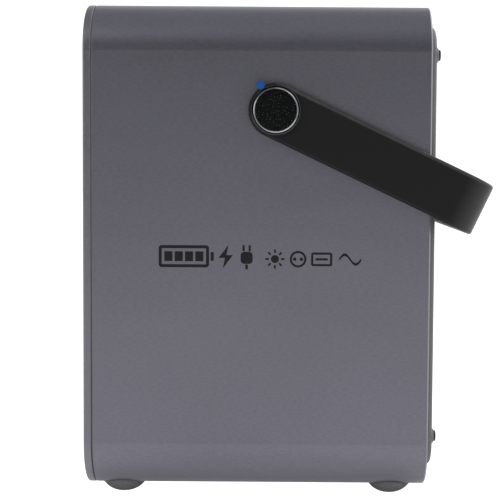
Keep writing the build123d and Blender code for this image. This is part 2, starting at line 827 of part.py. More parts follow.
with BuildPart() as control_board:
    with BuildSketch(upright(board_back, (0, control_board_level))):
        RectangleRounded(control_board_width, control_board_height, pillar_radius)
    extrude(amount=board_thickness)
    with BuildSketch(upright(board_back)):
        with Locations(pillar_points):
            Circle(pillar_screw + screw_gap)
    extrude(amount=board_thickness, mode=Mode.SUBTRACT)
    with BuildSketch(upright(board_back, (0, control_board_level))):
        with GridLocations(*chip_spacing, 3, 2):
            Rectangle(chip_side, chip_side)
    extrude(amount=-chip_height)
keep("control_board", control_board.part)

with BuildPart() as board_screws:
    with BuildSketch(upright(board_back)):
        with Locations(pillar_points):
            Circle(board_screw_head_radius)
    extrude(amount=-board_screw_head)
    with BuildSketch(upright(board_back)):
        with Locations(pillar_points):
            Circle(pillar_screw)
    extrude(amount=board_thickness + board_screw_length)
keep("board_screws", board_screws.part)

with BuildPart() as display_module:
    with BuildSketch(upright(panel_back + module_depth)):
        with Locations(display_centre):
            RectangleRounded(screen_size[0] + 2 * module_rim, screen_size[1] + 2 * module_rim, module_rim / 2)
    extrude(amount=module_depth)
    with BuildSketch(upright(board_face)):
        with Locations(display_centre):
            with GridLocations(screen_size[0] - 2 * module_rim, screen_size[1] - 2 * module_rim, 2, 2):
                Circle(0.75 * module_rim)
    extrude(amount=board_face - panel_back - module_depth)
keep("display_module", display_module.part)

with BuildPart() as lamp_board:
    with BuildSketch(upright(panel_back + board_thickness)):
        with Locations(lamp_centre):
            SlotOverall(lamp_size[0] + 2 * lamp_rim, lamp_size[1] + lamp_rim / 2)
    extrude(amount=board_thickness)
    with BuildSketch(upright(panel_back)):
        with Locations(lamp_centre):
            with GridLocations(led_pitch, 1, led_count, 1):
                Rectangle(led_side, led_side)
    extrude(amount=led_height)
keep("lamp_board", lamp_board.part)

# ---- sockets ------------------------------------------------------------------------------------
port_mouth = panel_front + usb_setback
port_length = board_face - port_mouth
with BuildPart() as usb_a_ports:
    with BuildSketch(upright(board_face)):
        with Locations(usb_a_points):
            Rectangle(*usb_a_size)
    extrude(amount=port_length)
    with BuildSketch(upright(port_mouth)):
        with Locations(usb_a_points):
            Rectangle(usb_a_size[0] - 2 * usb_shell, usb_a_size[1] - 2 * usb_shell)
        with Locations([(x, z + usb_a_tongue_rise) for x, z in usb_a_points]):
            Rectangle(*usb_a_tongue, mode=Mode.SUBTRACT)
    extrude(amount=-(port_length - usb_floor), mode=Mode.SUBTRACT)
    with BuildSketch(upright(port_mouth)):
        with Locations(usb_a_points):
            Rectangle(usb_a_size[0] - 2 * usb_shell, usb_a_size[1] - 2 * usb_shell)
    extrude(amount=-usb_a_tongue_setback, mode=Mode.SUBTRACT)
keep("usb_a_ports", usb_a_ports.part)

with BuildPart() as usb_c_ports:
    with BuildSketch(upright(board_face)):
        with Locations(usb_c_points):
            SlotOverall(*usb_c_size)
    extrude(amount=port_length)
    with BuildSketch(upright(port_mouth)):
        with Locations(usb_c_points):
            SlotOverall(usb_c_size[0] - 2 * usb_shell, usb_c_size[1] - 2 * usb_shell)
            Rectangle(*usb_c_tongue, mode=Mode.SUBTRACT)
    extrude(amount=-usb_c_bore, mode=Mode.SUBTRACT)
keep("usb_c_ports", usb_c_ports.part)

with BuildPart() as dc_jacks:
    with BuildSketch(upright(panel_front)):
        with Locations(jack_points):
            Circle(jack_flange_radius)
    extrude(amount=jack_flange)
    chamfer(dc_jacks.edges().filter_by(GeomType.CIRCLE).group_by(Axis.Y)[0], jack_flange / 2)
    with BuildSketch(upright(board_face - axial_gap)):
        with Locations(jack_points):
            Circle(jack_barrel_radius)
    extrude(amount=board_face - axial_gap - panel_front)
    with BuildSketch(upright(panel_front - jack_flange)):
        with Locations(jack_points):
            Circle(jack_bore_radius)
            Circle(jack_pin_radius, mode=Mode.SUBTRACT)
    extrude(amount=-jack_bore_depth, mode=Mode.SUBTRACT)
keep("dc_jacks", dc_jacks.part)

with BuildPart() as car_socket_shell:
    with BuildSketch(upright(panel_front)):
        with Locations(car_point):
            Circle(car_flange_radius)
    extrude(amount=car_flange)
    fillet(car_socket_shell.edges().filter_by(GeomType.CIRCLE).group_by(Axis.Y)[0], car_flange / 2)
    with BuildSketch(upright(car_depth + car_floor)):
        with Locations(car_point):
            Circle(car_bore_radius + car_wall)
    extrude(amount=car_depth + car_floor - panel_front)
    with BuildSketch(upright(car_depth)):
        with Locations(car_point):
            Circle(car_bore_radius)
    extrude(amount=car_depth - panel_front + car_flange, mode=Mode.SUBTRACT)
    with BuildSketch(upright(car_depth + car_floor)):
        with Locations(car_point):
            Circle(car_contact_radius + fit_gap)
    extrude(amount=car_floor, mode=Mode.SUBTRACT)
keep("car_socket_shell", car_socket_shell.part)

with BuildPart() as car_socket_contact:
    with BuildSketch(upright(car_depth + car_contact_length)):
        with Locations(car_point):
            Circle(car_contact_radius)
    extrude(amount=car_contact_length)
keep("car_socket_contact", car_socket_contact.part)

with BuildPart() as socket_nuts:
    with BuildSketch(upright(panel_back + nut_thickness)):
        with Locations(car_point):
            Circle(car_bore_radius + car_wall + car_nut_wall)
            Circle(car_bore_radius + car_wall + press_gap, mode=Mode.SUBTRACT)
        with Locations(jack_points):
            RegularPolygon(jack_barrel_radius + jack_nut_wall, 6, major_radius=False)
            Circle(jack_barrel_radius + press_gap, mode=Mode.SUBTRACT)
    extrude(amount=nut_thickness)
keep("socket_nuts", socket_nuts.part)

ac_front = panel_front - ac_proud
ac_floor = ac_front + ac_recess_depth
ac_back = ac_floor + ac_floor_thickness
contact_back = ac_back + ac_contact_length
with BuildPart() as ac_socket:
    with BuildSketch(upright(panel_front)):
        with Locations(ac_point):
            RectangleRounded(ac_flange, ac_flange, ac_flange_corner)
    extrude(amount=ac_proud)
    fillet(ac_socket.faces().filter_by(Axis.Y).sort_by(Axis.Y)[0].edges(), ac_proud / 2)
    with BuildSketch(upright(ac_back)):
        with Locations(ac_point):
            Circle(ac_body_radius)
    extrude(amount=ac_back - panel_front)
    with BuildSketch(upright(ac_floor)):
        with Locations(ac_point):
            Circle(ac_recess_radius)
            with GridLocations(2 * ac_recess_radius, 1, 2, 1):
                Rectangle(*ac_key, mode=Mode.SUBTRACT)
            with GridLocations(1, 2 * ac_recess_radius, 1, 2):
                Rectangle(clip_slot, 2 * clip_depth)
    extrude(amount=ac_recess_depth, mode=Mode.SUBTRACT)
    with BuildSketch(upright(ac_back)):
        with Locations(ac_point):
            with GridLocations(ac_pin_spacing, 1, 2, 1):
                Circle(ac_pin_hole_radius)
    extrude(amount=ac_floor_thickness, mode=Mode.SUBTRACT)
keep("ac_socket", ac_socket.part)

clip_reach = ac_recess_radius + clip_depth - clip_thickness
with BuildPart() as earth_clips:
    with BuildSketch(upright(ac_floor)):
        with Locations(ac_point):
            with GridLocations(1, 2 * clip_reach, 1, 2):
                Rectangle(clip_slot - 1, clip_thickness)
    extrude(amount=ac_recess_depth - ac_floor_thickness)
keep("earth_clips", earth_clips.part)

with BuildPart() as ac_contacts:
    with BuildSketch(upright(contact_back)):
        with Locations(ac_point):
            with GridLocations(ac_pin_spacing, 1, 2, 1):
                Circle(ac_contact_radius)
                Circle(ac_pin_hole_radius, mode=Mode.SUBTRACT)
    extrude(amount=ac_contact_length)
keep("ac_contacts", ac_contacts.part)

# ---- battery ------------------------------------------------------------------------------------
with BuildPart() as battery_cells:
    with BuildSketch(upright(cells_back, (0, pack_level))):
        with GridLocations(cell_pitch, cell_pitch, cell_columns, cell_rows):
            Circle(cell_radius)
    extrude(amount=cell_length)
keep("battery_cells", battery_cells.part)

for holder_name, holder_back in (
    ("cell_holder_front", cells_front + holder_thickness),
    ("cell_holder_rear", cells_back),
):
    with BuildPart() as holder:
        with BuildSketch(upright(holder_back, (0, pack_level))):
            RectangleRounded(*holder_size, 2 * holder_rim)
            with GridLocations(cell_pitch, cell_pitch, cell_columns, cell_rows):
                Circle(cell_radius + holder_slip, mode=Mode.SUBTRACT)
        extrude(amount=holder_thickness)
    keep(holder_name, holder.part)

with BuildPart() as nickel_strips:
    strip_size = (2 * (cell_pitch - strip_margin), cell_rows * cell_pitch - 2 * strip_margin)
    for strip_back in (cells_front, cells_back + strip_thickness):
        with BuildSketch(upright(strip_back, (0, pack_level))):
            with GridLocations(2 * cell_pitch, 1, cell_columns // 2, 1):
                RectangleRounded(*strip_size, strip_margin / 2)
        extrude(amount=strip_thickness)
keep("nickel_strips", nickel_strips.part)

tray_width = 2 * (foot_x + tray_boss_radius + tray_margin)
with BuildPart() as battery_tray:
    with BuildSketch(flat(pack_floor, tray_front + tray_length / 2)):
        RectangleRounded(tray_width, tray_length, tray_boss_radius)
    extrude(amount=tray_floor)
    for rib_at in (cells_front - strip_thickness - tray_rib, cells_back + strip_thickness + tray_rib):
        with BuildSketch(flat(pack_floor + tray_floor, rib_at)):
            Rectangle(tray_width - 2 * tray_boss_radius, tray_rib)
        extrude(amount=tray_wall)
    with BuildSketch(Plane(origin=(0, 0, foot_height + wall))):
        with Locations(list(foot_points.values())):
            Circle(tray_boss_radius)
    extrude(amount=tray_lift)
    with BuildSketch(upright(tray_front + tray_length)):
        RectangleRounded(inner_width - 2 * fit_gap, inner_height, inner_radius)
    extrude(amount=tray_length, mode=Mode.INTERSECT)
    with BuildSketch(Plane(origin=(0, 0, foot_height + wall))):
        with Locations(list(foot_points.values())):
            Circle(screw_radius + press_gap)
    extrude(amount=tray_hole_depth, mode=Mode.SUBTRACT)
keep("battery_tray", battery_tray.part)

with BuildPart() as bms_board:
    with BuildSketch(flat(pack_top, pack_depth)):
        with GridLocations(*bms_leg_spacing, 2, 2):
            Circle(bms_leg_radius)
    extrude(amount=bms_leg)
    with BuildSketch(flat(pack_top + bms_leg, pack_depth)):
        RectangleRounded(*bms_size, bms_leg_radius)
    extrude(amount=board_thickness)
    with BuildSketch(flat(bms_top, pack_depth)):
        with GridLocations(transistor_pitch, 1, transistor_count, 1):
            Rectangle(*transistor_size)
    extrude(amount=transistor_height)
keep("bms_board", bms_board.part)

# ---- inverter -----------------------------------------------------------------------------------
board_length = board_rear - board_front
with BuildPart() as inverter_board:
    with BuildSketch(flat(board_level, board_front + board_length / 2)):
        Rectangle(inner_width - 2 * fit_gap, board_length)
    extrude(amount=board_thickness)
keep("inverter_board", inverter_board.part)

with BuildPart() as heatsinks:
    with BuildSketch(flat(board_top, heatsink_depth)):
        with GridLocations(heatsink_spacing, 1, 2, 1):
            Rectangle(*heatsink_web)
        with GridLocations(heatsink_spacing, fin_pitch, 2, fin_count):
            Rectangle(*fin_size)
    extrude(amount=heatsink_height)
keep("heatsinks", heatsinks.part)

with BuildPart() as transformer:
    with BuildSketch(flat(board_top, transformer_depth)):
        RectangleRounded(*transformer_size, transformer_corner)
        with GridLocations(winding_spacing, 1, 2, 1):
            Rectangle(*winding_window, mode=Mode.SUBTRACT)
    extrude(amount=transformer_height)
keep("transformer", transformer.part)

with BuildPart() as capacitors:
    with BuildSketch(flat(board_top, capacitor_depth)):
        with GridLocations(*capacitor_spacing, 2, 2):
            Circle(capacitor_radius)
    extrude(amount=capacitor_height)
    fillet(capacitors.edges().filter_by(GeomType.CIRCLE).group_by(Axis.Z)[-1], capacitor_edge)
keep("capacitors", capacitors.part)

# ---- fan ----------------------------------------------------------------------------------------
fan_back = plateau_back - rear_skin
fan_front = fan_back - fan_thickness
rotor_back = fan_back - fan_base - fan_end_gap
rotor_front = fan_front + fan_end_gap
shaft_back = fan_back - fit_gap
with BuildPart() as fan_frame:
    with BuildSketch(upright(fan_back, fan_centre)):
        RectangleRounded(fan_size, fan_size, fan_corner)
        Circle(fan_bore_radius, mode=Mode.SUBTRACT)
        with GridLocations(fan_hole_spacing, fan_hole_spacing, 2, 2):
            Circle(fan_screw_radius + fit_gap, mode=Mode.SUBTRACT)
    extrude(amount=fan_thickness)
    with BuildSketch(upright(fan_back, fan_centre)):
        Circle(fan_hub_radius)
        spoke_length = fan_bore_radius - fan_hub_radius + fan_spoke
        with PolarLocations((fan_bore_radius + fan_hub_radius) / 2, 4, start_angle=45):
            Rectangle(spoke_length, fan_spoke)
        Circle(fan_shaft_radius + axial_gap, mode=Mode.SUBTRACT)
    extrude(amount=fan_base)
keep("fan_frame", fan_frame.part)

with BuildPart() as fan_rotor:
    with BuildSketch(upright(rotor_back, fan_centre)):
        Circle(fan_hub_radius)
    extrude(amount=rotor_back - rotor_front)
    fillet(fan_rotor.edges().filter_by(GeomType.CIRCLE).group_by(Axis.Y)[0], fan_hub_edge)
    with Locations(upright((rotor_back + rotor_front) / 2, fan_centre)):
        blade_length = fan_tip_radius - fan_hub_radius
        with PolarLocations(fan_hub_radius + blade_length / 2 - blade_root, blade_count):
            Box(blade_length, blade_thickness, blade_chord, rotation=(blade_pitch, 0, 0))
    with BuildSketch(upright(shaft_back, fan_centre)):
        Circle(fan_shaft_radius)
    extrude(amount=shaft_back - rotor_back)
keep("fan_rotor", fan_rotor.part)

with BuildPart() as fan_screws:
    with BuildSketch(upright(fan_front, fan_centre)):
        with GridLocations(fan_hole_spacing, fan_hole_spacing, 2, 2):
            Circle(fan_screw_head_radius)
    extrude(amount=fan_screw_head)
    with BuildSketch(upright(fan_front, fan_centre)):
        with GridLocations(fan_hole_spacing, fan_hole_spacing, 2, 2):
            Circle(fan_screw_radius)
    extrude(amount=-(fan_thickness + rear_skin - 2 * fan_screw_skin))
keep("fan_screws", fan_screws.part)


# ---- leads inside -------------------------------------------------------------------------------
def lead_points(route):
    """Turns points of x, depth behind the sleeve's front end and level above the middle into places."""
    return [(x, sleeve_front + depth, case_middle + level) for x, depth, level in route]


with BuildPart() as ac_leads:
    for contact_side in (-1, 1):
        contact_x = ac_point[0] + contact_side * ac_pin_spacing / 2
        corners = lead_points(
            [
                (contact_x, contact_back, ac_point[1]),
                (contact_x, ac_lead_depth, ac_point[1]),
                (contact_x, ac_lead_depth, board_level),
            ]
        )
        with BuildLine():
            FilletPolyline(*corners, radius=ac_lead_bend)
        with BuildSketch(Plane(origin=corners[0], z_dir=(0, 1, 0))):
            Circle(ac_lead_radius)
        sweep()
keep("ac_leads", ac_leads.part)

fan_side = fan_size / 2
fan_lead_x = fan_side + fan_lead_clearance
fan_lead_back = fan_front + fan_base
fan_lead_turn = board_top + fan_lead_clearance
with BuildPart() as fan_lead:
    corners = lead_points(
        [
            (fan_side, fan_lead_back, fan_centre[1] - fan_lead_drop),
            (fan_lead_x, fan_lead_back, fan_centre[1] - fan_lead_drop),
            (fan_lead_x, fan_lead_back, fan_lead_turn),
            (fan_lead_x, board_rear - fan_lead_landing, fan_lead_turn),
            (fan_lead_x, board_rear - fan_lead_landing, board_top),
        ]
    )
    with BuildLine():
        FilletPolyline(*corners, radius=fan_lead_bend)
    with BuildSketch(Plane(origin=corners[0], z_dir=(1, 0, 0))):
        Circle(fan_lead_radius)
    sweep()
keep("fan_lead", fan_lead.part)

with BuildPart() as battery_leads:
    with BuildSketch(flat(bms_top, pack_depth + battery_lead_back)):
        with GridLocations(battery_lead_spacing, 1, 2, 1):
            Circle(battery_lead_radius)
    extrude(amount=board_level - bms_top)
keep("battery_leads", battery_leads.part)

with BuildPart() as panel_ribbon:
    with BuildSketch(upright(board_front, (0, board_level + board_thickness / 2))):
        Rectangle(*ribbon_size)
    extrude(amount=board_front - board_back)
keep("panel_ribbon", panel_ribbon.part)

os.makedirs("parts", exist_ok=True)
for name, part in pieces.items():
    export_step(part, f"parts/{name}.step")
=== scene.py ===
import json
from math import cos, pi, radians, sin

import bpy
from mathutils import Matrix, Vector


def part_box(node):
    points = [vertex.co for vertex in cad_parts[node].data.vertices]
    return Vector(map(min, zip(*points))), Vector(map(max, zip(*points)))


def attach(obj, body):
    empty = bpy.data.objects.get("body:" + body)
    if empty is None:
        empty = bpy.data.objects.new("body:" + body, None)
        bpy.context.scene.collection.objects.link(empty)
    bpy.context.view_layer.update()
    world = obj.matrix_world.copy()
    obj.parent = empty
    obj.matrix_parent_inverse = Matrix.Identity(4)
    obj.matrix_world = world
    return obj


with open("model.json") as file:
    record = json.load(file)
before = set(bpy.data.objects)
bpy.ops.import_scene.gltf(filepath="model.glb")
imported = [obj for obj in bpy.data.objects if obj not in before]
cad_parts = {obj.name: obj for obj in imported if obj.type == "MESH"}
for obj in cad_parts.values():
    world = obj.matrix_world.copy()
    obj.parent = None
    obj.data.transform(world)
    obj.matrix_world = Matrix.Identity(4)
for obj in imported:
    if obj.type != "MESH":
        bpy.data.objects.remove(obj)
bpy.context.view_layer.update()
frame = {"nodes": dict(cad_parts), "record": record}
nodes = frame["nodes"]
mm = 0.001

# ---- Camera --------------------------------------------------------------------------------------
# The camera looks square at the right-hand side from half a metre away, a little above the middle.
# It tips down slightly, and it isn't quite level.
case_low, case_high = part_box("sleeve")
bezel_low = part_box("front_bezel")[0]
stand_off = 527 * mm
behind_bezel = 84.3 * mm
eye_level = 136.8 * mm
camera_data = bpy.data.cameras.new("studio_camera")
camera_data.lens = 93.6
camera_data.shift_x = -0.08
camera = bpy.data.objects.new("studio_camera", camera_data)
bpy.context.scene.collection.objects.link(camera)
camera.location = (case_high.x + stand_off, bezel_low.y + behind_bezel, eye_level)
tip_down = radians(3.58)
lean = radians(0.4)
aim = Matrix.Rotation(pi / 2, 3, "Z") @ Matrix.Rotation(pi / 2 - tip_down, 3, "X")
camera.rotation_euler = (aim @ Matrix.Rotation(lean, 3, "Z")).to_euler()
bpy.context.scene.camera = camera
bpy.context.scene.view_settings.view_transform = "Standard"


# ---- Finishes ------------------------------------------------------------------------------------
# Every surface is a principled shader with a pattern that lies in the object's own coordinates.
# Value wraps one socket, so that sums and products on it add the nodes that do them.
class Value:
    """One output of a node. Arithmetic on it adds Math nodes to its finish."""

    def __init__(self, finish, socket):
        self.finish = finish
        self.socket = socket

    def maths(self, operation, *values):
        return self.finish.node("ShaderNodeMath", {"operation": operation}, dict(enumerate(values)))

    def __add__(self, other):
        return self.maths("ADD", self, other)

    __radd__ = __add__

    def __sub__(self, other):
        return self.maths("SUBTRACT", self, other)

    def __rsub__(self, other):
        return self.maths("SUBTRACT", other, self)

    def __mul__(self, other):
        return self.maths("MULTIPLY", self, other)

    __rmul__ = __mul__

    def smooth(self, low, high):
        """0 below low, 1 above high, and a smooth step between them."""
        settings = {"interpolation_type": "SMOOTHSTEP"}
        return self.finish.node("ShaderNodeMapRange", settings, {0: self, 1: low, 2: high})

    def within(self, width):
        """1 where the value is less than half of width from 0, and 0 elsewhere."""
        return self.maths("LESS_THAN", self.maths("ABSOLUTE", self), width / 2)

    def along(self, axis):
        """This far along X, Y or Z, where the value is a place."""
        return self.finish.node("ShaderNodeSeparateXYZ", None, {0: self}, axis)


class Finish:
    """A material under the name of the finish, with one principled shader."""

    def __init__(self, name, colour, roughness, **constants):
        self.material = bpy.data.materials.new(name)
        self.material.use_nodes = True
        self.tree = self.material.node_tree
        self.shader = self.tree.nodes["Principled BSDF"]
        self.roughness = roughness
        self.set("Base Color", (*colour, 1))
        self.set("Roughness", roughness)
        for key, constant in constants.items():
            self.set(key.replace("_", " ").title().replace("Ior", "IOR"), constant)

    def set(self, socket, value):
        if isinstance(value, Value):
            self.tree.links.new(value.socket, self.shader.inputs[socket])
        else:
            self.shader.inputs[socket].default_value = value

    def node(self, kind, settings=None, inputs=None, output=0):
        """Adds a node: its settings first, then the values or links of its sockets."""
        made = self.tree.nodes.new(kind)
        for key, setting in (settings or {}).items():
            setattr(made, key, setting)
        for key, value in (inputs or {}).items():
            if isinstance(value, Value):
                self.tree.links.new(value.socket, made.inputs[key])
            else:
                made.inputs[key].default_value = value
        return Value(self, made.outputs[output])

    def place(self, scale=(1, 1, 1)):
        """The piece's own coordinates, in metres, stretched by scale."""
        here = self.node("ShaderNodeTexCoord", output="Object")
        return self.node("ShaderNodeMapping", None, {"Vector": here, "Scale": scale})

    def noise(self, scale, stretch=(1, 1, 1), detail=3, rough=0.5):
        inputs = {"Vector": self.place(stretch), "Scale": scale, "Detail": detail, "Roughness": rough}
        return self.node("ShaderNodeTexNoise", None, inputs, "Fac")

    def specks(self, scale, size):
        """1 in round specks that lie about 1/scale apart, 0 between them."""
        inputs = {"Vector": self.place(), "Scale": scale}
        return 1 - self.node("ShaderNodeTexVoronoi", None, inputs, "Distance").smooth(size * 0.7, size)

    def grained(self, scale, dark, light, depth=0.00002, spread=0.1):
        """Colours the surface from dark to light in fine grain, with roughness and height to match."""
        grain = self.noise(scale)
        cloud = self.noise(scale / 20, detail=2)
        share = (grain * 0.85 + cloud * 0.15).smooth(0.25, 0.75)
        self.set("Base Color", self.mix(share, dark, light))
        self.set("Roughness", self.roughness - spread / 2 + share * spread)
        self.bump(grain, depth, 0.4)
        return self

    def mix(self, share, first, second):
        """The first colour where share is 0, the second where it is 1. The first may be a link."""
        start = first if isinstance(first, Value) else (*first, 1)
        inputs = {"Factor": share, 6: start, 7: (*second, 1)}
        return self.node("ShaderNodeMix", {"data_type": "RGBA"}, inputs, 2)

    def over(self, share, colour, metallic):
        """Puts another colour on the finish where share is 1, and changes how metallic it is there."""
        under = Value(self, self.shader.inputs["Base Color"].links[0].from_socket)
        own = self.shader.inputs["Metallic"].default_value
        self.set("Base Color", self.mix(share, under, colour))
        if metallic != own:
            self.set("Metallic", own + share * (metallic - own))

    def bump(self, height, distance, strength=1.0):
        inputs = {"Height": height, "Distance": distance, "Strength": strength}
        self.set("Normal", self.node("ShaderNodeBump", None, inputs))

    def cover(self, *names):
        """Gives this finish to CAD nodes that keep their own mesh."""
        for name in names:
            nodes[name].data.materials.clear()
            nodes[name].data.materials.append(self.material)


# ---- Floor and light -----------------------------------------------------------------------------
# A pale floor in a white room, with soft light from above. What surfaces mirror is dark level with the
# object and bright overhead, before, behind and below it, so the flat sides get lighter downwards.
bpy.ops.mesh.primitive_plane_add(size=12)
floor = bpy.context.object
floor.name = "floor"
floor_glow = 1.45
glow_to_camera = 0.86
glow_to_gloss = 0.3
floor_finish = Finish("pale_floor", (0.9, 0.9, 0.9), 0.7)
floor_finish.set("Specular IOR Level", 0.1)
lit = floor_finish.tree.nodes.new("ShaderNodeEmission")
lit.inputs["Strength"].default_value = floor_glow
seen = floor_finish.tree.nodes.new("ShaderNodeMixShader")
to_camera = floor_finish.node("ShaderNodeLightPath", output="Is Camera Ray") * glow_to_camera
to_gloss = floor_finish.node("ShaderNodeLightPath", output="Is Glossy Ray") * glow_to_gloss
floor_finish.tree.links.new((to_camera + to_gloss).socket, seen.inputs["Fac"])
floor_finish.tree.links.new(floor_finish.shader.outputs[0], seen.inputs[1])
floor_finish.tree.links.new(lit.outputs[0], seen.inputs[2])
floor_finish.tree.links.new(seen.outputs[0], floor_finish.tree.nodes["Material Output"].inputs["Surface"])
floor.data.materials.append(floor_finish.material)


def softbox(name, place, aim_at, size, power, glossy):
    """A square light that faces aim_at, and shows in gloss or not."""
    light = bpy.data.lights.new(name, "AREA")
    light.size = size
    light.energy = power
    lamp = bpy.data.objects.new(name, light)
    bpy.context.scene.collection.objects.link(lamp)
    lamp.location = place
    lamp.rotation_euler = (Vector(aim_at) - Vector(place)).to_track_quat("-Z", "Y").to_euler()
    lamp.visible_glossy = glossy


softbox("overhead", (0.1, 0, 1.7), (0, 0, 0), 2.4, 20, False)
softbox("high_front", (1.3, -0.9, 1.3), (0, 0, 0.1), 0.9, 4, True)
softbox("rear_left", (-0.9, 1.2, 1.2), (0, 0, 0.1), 0.9, 4, True)

world = bpy.data.worlds.new("studio")
bpy.context.scene.world = world
world.use_nodes = True
sky = world.node_tree


def sky_node(kind, **inputs):
    """Adds a node to the world, with the values or links of its sockets."""
    made = sky.nodes.new(kind)
    for name, value in inputs.items():
        socket = made.inputs[name.replace("_", " ")]
        if isinstance(value, bpy.types.NodeSocket):
            sky.links.new(value, socket)
        else:
            socket.default_value = value
    return made


def swell(source, low, high, least, most):
    """least where the source is under low, most where it is over high."""
    span = {"From_Min": low, "From_Max": high, "To_Min": least, "To_Max": most}
    made = sky_node("ShaderNodeMapRange", Value=source, **span)
    made.interpolation_type = "SMOOTHSTEP"
    return made.outputs[0]


way = sky_node("ShaderNodeSeparateXYZ", Vector=sky.nodes.new("ShaderNodeTexCoord").outputs["Generated"])
ceiling = swell(way.outputs["Z"], 0.2, 0.9, 0.05, 0.7)
backdrop = swell(way.outputs["X"], -0.9, -0.55, 1.0, 0.0)
rear_wall = swell(way.outputs["Y"], 0.3, 1.0, 0.0, 1.7)
front_wall = swell(way.outputs["Y"], -1.0, -0.7, 1.3, 0.0)
total = ceiling
for wall_light in (backdrop, rear_wall, front_wall):
    both = sky.nodes.new("ShaderNodeMath")
    sky.links.new(total, both.inputs[0])
    sky.links.new(wall_light, both.inputs[1])
    total = both.outputs[0]
mirrored = sky_node("ShaderNodeBackground", Color=(0.97, 0.98, 1, 1), Strength=total)
room = sky.nodes["Background"]
room.inputs["Color"].default_value = (1, 1, 1, 1)
room.inputs["Strength"].default_value = 1.2
choose = sky.nodes.new("ShaderNodeMixShader")
sky.links.new(sky.nodes.new("ShaderNodeLightPath").outputs["Is Glossy Ray"], choose.inputs["Fac"])
sky.links.new(room.outputs[0], choose.inputs[1])
sky.links.new(mirrored.outputs[0], choose.inputs[2])
sky.links.new(choose.outputs[0], sky.nodes["World Output"].inputs["Surface"])

# ---- Case ----------------------------------------------------------------------------------------
# The case is an extruded aluminium sleeve, blasted and anodised gunmetal. Its ends are cut after
# that, which leaves bare metal on the two chamfers, painted lighter and half metallic as a painted
# highlight.
cut = 0.62 * mm
fade = 0.05 * mm
case_finish = Finish("case_aluminium", (0.15, 0.147, 0.175), 0.4, metallic=1.0)
case_grain = case_finish.noise(1400, (1, 0.35, 1), 4, 0.65)
case_cloud = case_finish.noise(26, (1, 0.4, 1), 3, 0.6)
case_share = (case_grain * 0.7 + case_cloud * 0.3).smooth(0.25, 0.75)
case_colour = case_finish.mix(case_share, (0.132, 0.129, 0.153), (0.168, 0.165, 0.195))
case_y = case_finish.place().along("Y")
# Painted highlight: the cut chamfers at both ends are lighter and half metallic so that room light brightens
# them.
cut_chamfer_highlight = case_y.smooth(case_high.y - cut, case_high.y - cut + fade)
cut_chamfer_highlight = cut_chamfer_highlight + (1 - case_y.smooth(case_low.y + cut - fade, case_low.y + cut))
case_finish.set("Base Color", case_finish.mix(cut_chamfer_highlight, case_colour, (0.18, 0.18, 0.19)))
case_finish.set("Metallic", 1 - cut_chamfer_highlight * 0.5)
case_finish.set("Roughness", 0.36 + case_grain * 0.1 - cut_chamfer_highlight * 0.12)
case_finish.bump(case_grain, 0.00003, 0.35)
case_finish.cover("sleeve")

# ---- Printed symbols -----------------------------------------------------------------------------
# Screen-printed ink a few hundredths of a millimetre thick. Each symbol is a set of closed outlines,
# in millimetres about its own middle, and an outline inside another is a hole in it.
ink = 0.04


def bar(x, y, width, height, corner=0.0):
    """A rectangle, with round corners where corner is given."""
    if not corner:
        return [[(x + a * width / 2, y + b * height / 2) for a, b in ((-1, -1), (1, -1), (1, 1), (-1, 1))]]
    reach = (width / 2 - corner, height / 2 - corner)
    outline = []
    for quarter, (a, b) in enumerate(((1, 1), (-1, 1), (-1, -1), (1, -1))):
        for step in range(7):
            turn = quarter * pi / 2 + step * pi / 12
            outline.append((x + a * reach[0] + corner * cos(turn), y + b * reach[1] + corner * sin(turn)))
    return [outline]


def disc(x, y, radius, sides=32):
    turns = [2 * pi * k / sides for k in range(sides)]
    return [[(x + radius * cos(turn), y + radius * sin(turn)) for turn in turns]]


def ring(x, y, radius, width):
    return disc(x, y, radius) + disc(x, y, radius - width)


def arch(x, y, radius, width, start, end, steps=24):
    """Part of a ring, from start to end in degrees."""
    turns = [radians(start + (end - start) * k / steps) for k in range(steps + 1)]
    outer = [(x + radius * cos(t), y + radius * sin(t)) for t in turns]
    inner = [(x + (radius - width) * cos(t), y + (radius - width) * sin(t)) for t in reversed(turns)]
    return [outer + inner]


def bolt(x, y, height):
    """A lightning flash."""
    shape = ((0.12, 0.5), (-0.3, -0.06), (-0.03, -0.06), (-0.12, -0.5), (0.3, 0.06), (0.03, 0.06))
    return [[(x + a * height, y + b * height) for a, b in shape]]


def battery(x, y, width, height, line, cells, charged):
    """An outline with a terminal at its right end, and a block for each charged cell."""
    shapes = bar(x, y, width, height, line) + bar(x, y, width - 2 * line, height - 2 * line)
    shapes += bar(x + width / 2 + line, y, line, height * 0.4)
    pitch = (width - 3 * line) / cells
    for cell in range(charged):
        at = x - width / 2 + 1.5 * line + pitch * (cell + 0.5)
        shapes += bar(at, y, pitch - line * 0.7, height - 4 * line)
    return shapes


def plug(x, y, height):
    """A mains plug with two pins, pins up."""
    body = height * 0.5
    shapes = bar(x, y - body * 0.1, body, body, body * 0.3)
    for pin in (-1, 1):
        shapes += bar(x + pin * body * 0.25, y + body * 0.7, body * 0.18, body * 0.5)
    return shapes + bar(x, y - body * 0.85, body * 0.22, body * 0.4)


def sun(x, y, radius, rays=8):
    """A disc with rays round it, which stands for the lamp or for solar input."""
    shapes = disc(x, y, radius * 0.42)
    for ray in range(rays):
        turn = 2 * pi * ray / rays
        across = (-sin(turn) * radius * 0.1, cos(turn) * radius * 0.1)
        ends = [(x + cos(turn) * radius * far, y + sin(turn) * radius * far) for far in (0.62, 1)]
        corners = [(ends[0], -1), (ends[1], -1), (ends[1], 1), (ends[0], 1)]
        shapes.append([(end[0] + side * across[0], end[1] + side * across[1]) for end, side in corners])
    return shapes


def wave(x, y, width, line):
    """One turn of a sine wave, which stands for alternating current."""
    steps = [k / 20 for k in range(21)]
    upper = [(x + (t - 0.5) * width, y + sin(2 * pi * t) * width * 0.22 + line / 2) for t in steps]
    lower = [(u, v - line) for u, v in reversed(upper)]
    return [upper + lower]


